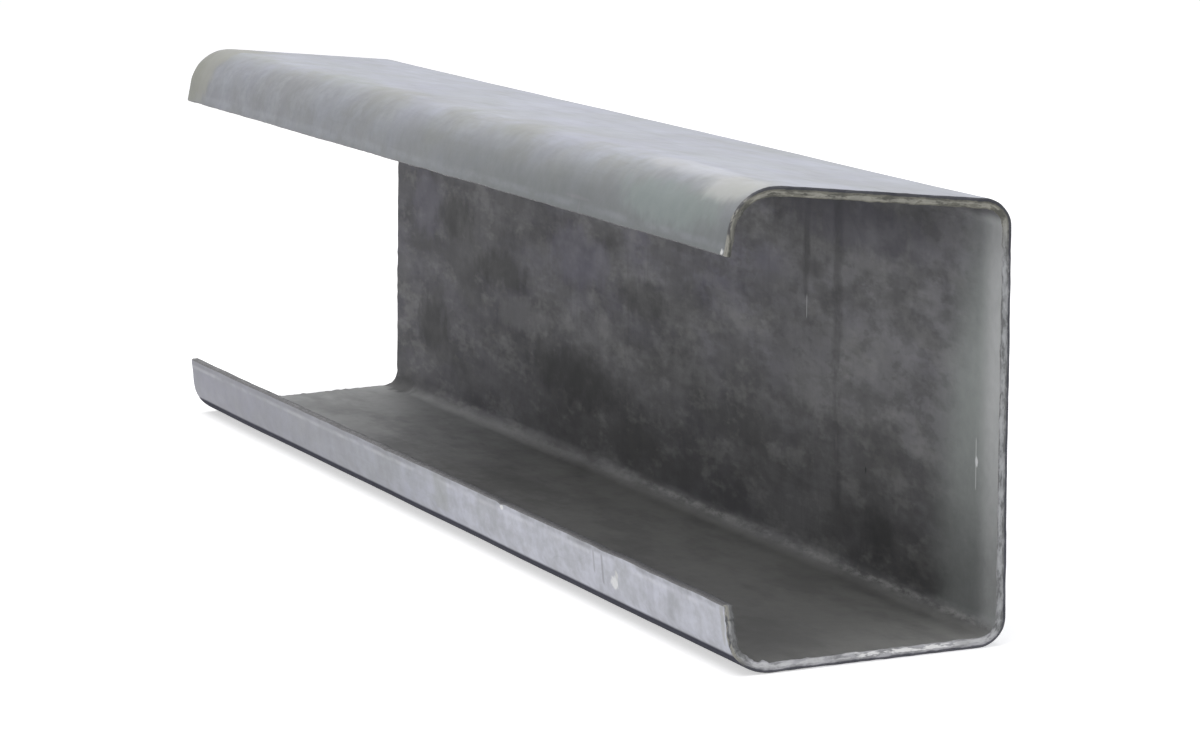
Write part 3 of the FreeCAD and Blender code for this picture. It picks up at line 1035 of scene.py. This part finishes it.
    def make_object(
        self,
        points: list[tuple[float, float, float]],
        marks: list[tuple[float, float, float]],
        faces: list[tuple[int, ...]],
        kinds: list[Face],
    ) -> bpy.types.Object:
        """Turns the lists into a smooth-shaded object that stays inside the CAD node's box."""
        low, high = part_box("c_purlin")
        inside = np.clip(np.array(points), np.array(low), np.array(high))
        mesh = bpy.data.meshes.new("purlin_sheet")
        mesh.from_pydata([tuple(p) for p in inside], [], faces)
        mesh.polygons.foreach_set("material_index", [kind.value for kind in kinds])
        place_marks = mesh.attributes.new(PLACE, "FLOAT_VECTOR", "POINT")
        place_marks.data.foreach_set("vector", np.array(marks, np.float32).ravel())
        mesh.polygons.foreach_set("use_smooth", [True] * len(faces))
        mesh.set_sharp_from_angle(angle=math.radians(38.0))
        mesh.update()
        piece = bpy.data.objects.new("purlin_sheet", mesh)
        bpy.context.scene.collection.objects.link(piece)
        return piece

    def dress(self, piece: bpy.types.Object, effects: Effects) -> None:
        """Gives each face of the sheet its finish."""
        half = self.length / 2
        finishes = {
            Face.OUTER: LightFace(effects, self.section),
            Face.INNER: DarkFace(effects, self.section, half),
            Face.EDGE: ShearedEdge(effects, self.section, half),
        }
        for face in Face:
            piece.data.materials.append(finishes[face].build())


# --------------------------------------------------------------------------------------------
# The studio
# --------------------------------------------------------------------------------------------


@dataclass(frozen=True)
class Studio:
    """A pale floor, soft light from above and the front, and the camera."""

    azimuth: float = 73.0198
    elevation: float = 7.7088
    roll: float = -3.6041
    distance: float = 1.56794
    lens: float = 180.707
    aim: tuple[float, float, float] = (0.00588, 0.01319, -0.01589)  # from the middle of the purlin's box
    floor_half: float = 6.0
    world_strength: float = 0.46
    floor_lift: float = 0.55  # what the floor adds for the eye only, to read as white

    def build_camera(self) -> None:
        """Places the camera and makes it the scene's."""
        low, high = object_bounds()
        azimuth, elevation, roll = (math.radians(a) for a in (self.azimuth, self.elevation, self.roll))
        back = Vector(
            (
                math.sin(azimuth) * math.cos(elevation),
                -math.cos(azimuth) * math.cos(elevation),
                math.sin(elevation),
            )
        )
        right = Vector((math.cos(azimuth), math.sin(azimuth), 0.0))
        up = back.cross(right)
        side = right * math.cos(roll) + up * math.sin(roll)
        top = up * math.cos(roll) - right * math.sin(roll)
        data = bpy.data.cameras.new("camera")
        data.lens, data.sensor_width, data.clip_end = self.lens, 36.0, 60.0
        camera = bpy.data.objects.new("camera", data)
        spot = (low + high) / 2 + Vector(self.aim) + back * self.distance
        turn = Matrix((side, top, back)).transposed().to_4x4()
        camera.matrix_world = Matrix.Translation(spot) @ turn
        bpy.context.scene.collection.objects.link(camera)
        bpy.context.scene.camera = camera

    def add_softbox(
        self, name: str, spot: Vector, target: Vector, size: tuple[float, float], power: float
    ) -> None:
        """One rectangular lamp that faces the purlin.

        Args:
            name: the lamp's name.
            spot: where it hangs.
            target: what it faces.
            size: its width and height, in metres.
            power: its power, in watts.
        """
        data = bpy.data.lights.new(name, "AREA")
        data.shape, data.size, data.size_y, data.energy = "RECTANGLE", size[0], size[1], power
        lamp = bpy.data.objects.new(name, data)
        lamp.location = spot
        lamp.rotation_mode = "QUATERNION"
        lamp.rotation_quaternion = (spot - target).to_track_quat("Z", "Y")
        bpy.context.scene.collection.objects.link(lamp)

    def seen_directly(self, graph: Graph) -> bpy.types.NodeSocket:
        """1 for what the eye sees straight, in a mirror or through glass, and 0 for other light."""
        path = graph.node("ShaderNodeLightPath", {}).outputs
        both = graph.math("MAXIMUM", path["Is Camera Ray"], path["Is Glossy Ray"])
        return graph.math("MAXIMUM", both, path["Is Transmission Ray"])

    def build_world(self) -> None:
        """An even white surround that is dimmer as a light than it looks."""
        world = bpy.data.worlds.new("studio")
        world.use_nodes = True
        bpy.context.scene.world = world
        graph = Graph(world.node_tree)
        background = world.node_tree.nodes["Background"]
        background.inputs["Color"].default_value = (1.0, 1.0, 1.0, 1.0)
        seen = self.seen_directly(graph)
        strength = graph.math("MULTIPLY_ADD", seen, 1.0 - self.world_strength, self.world_strength)
        world.node_tree.links.new(strength, background.inputs["Strength"])

    def build_floor(self) -> None:
        """A white floor that keeps the purlin's shadow."""
        low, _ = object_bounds()
        half = self.floor_half
        mesh = bpy.data.meshes.new("floor")
        corners = [(-half, -half, low.z), (half, -half, low.z), (half, half, low.z), (-half, half, low.z)]
        mesh.from_pydata(corners, [], [(0, 1, 2, 3)])
        floor = bpy.data.objects.new("floor", mesh)
        bpy.context.scene.collection.objects.link(floor)
        material = bpy.data.materials.new("white_floor")
        material.use_nodes = True
        graph = Graph(material.node_tree)
        shader = material.node_tree.nodes["Principled BSDF"]
        shader.inputs["Base Color"].default_value = (0.80, 0.80, 0.81, 1.0)
        shader.inputs["Roughness"].default_value = 0.9
        shader.inputs["Specular IOR Level"].default_value = 0.1
        shader.inputs["Emission Color"].default_value = (1.0, 1.0, 1.0, 1.0)
        lift = graph.math("MULTIPLY", self.seen_directly(graph), self.floor_lift)
        material.node_tree.links.new(lift, shader.inputs["Emission Strength"])
        mesh.materials.append(material)
        floor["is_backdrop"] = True

    def build(self) -> None:
        """Makes the floor, the surround, the lamps and the camera."""
        low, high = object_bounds()
        middle = (low + high) / 2
        self.build_floor()
        self.build_world()
        self.add_softbox("overhead", middle + Vector((0.1, -0.25, 1.5)), middle, (1.6, 1.4), 17.0)
        self.add_softbox("front", middle + Vector((0.9, -1.3, 0.7)), middle, (1.0, 0.8), 1.2)
        self.build_camera()
        bpy.context.scene.view_settings.view_transform = "Standard"


def main() -> None:
    """Builds the purlin and its studio in order."""
    logging.basicConfig(level=logging.INFO, format="%(message)s")
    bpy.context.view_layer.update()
    effects = Effects.build()
    sheet = PurlinSheet()
    piece = sheet.build()
    sheet.dress(piece, effects)
    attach(piece, "root")
    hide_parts("c_purlin")
    LOG.info("%s: %d faces", piece.name, len(piece.data.polygons))
    Studio().build()


if __name__ == "__main__":
    main()
